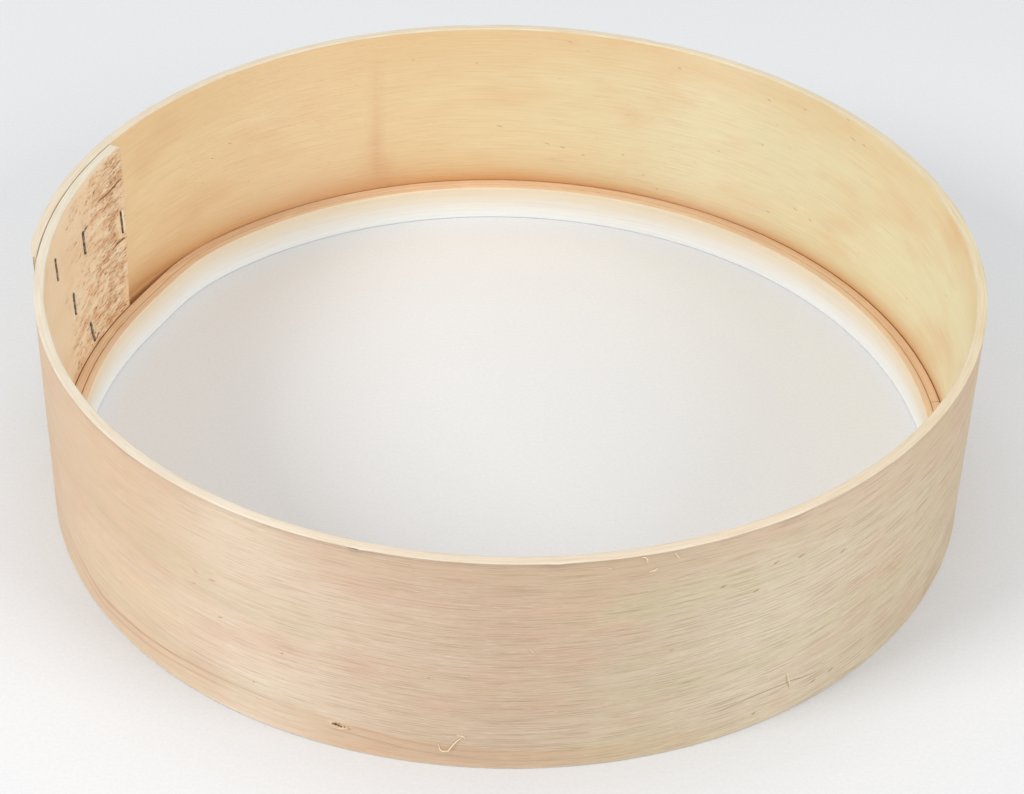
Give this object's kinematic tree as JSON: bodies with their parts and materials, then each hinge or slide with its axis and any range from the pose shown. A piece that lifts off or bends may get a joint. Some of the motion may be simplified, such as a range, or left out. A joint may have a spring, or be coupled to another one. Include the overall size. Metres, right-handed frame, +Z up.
{
  "type": "steamer basket ring",
  "caption": "Open round bentwood drum wall, lapped and stapled, with two narrow hoops inside its foot that form a ledge for a rack or mat.",
  "frame": {"origin": "centre of the foot, on the surface that the hoop stands on", "axes": "+Z up along the hoop's axis; -X is the side of the stapled lap; -Y is the front"},
  "size_m": [0.3, 0.3, 0.077],
  "materials": {
    "wall_wood": "bare, lightly sanded veneer",
    "hoop_wood": "bare",
    "liner_wood": "bare",
    "staple_steel": "plain wire"
  },
  "bodies": {
    "root": {"wall_band": "wall_wood", "foot_hoop_outer": "hoop_wood", "foot_hoop_inner": "liner_wood", "lap_staple_1": "staple_steel", "lap_staple_2": "staple_steel", "lap_staple_3": "staple_steel", "lap_staple_4": "staple_steel", "lap_staple_5": "staple_steel"}
  },
  "joints": []
}
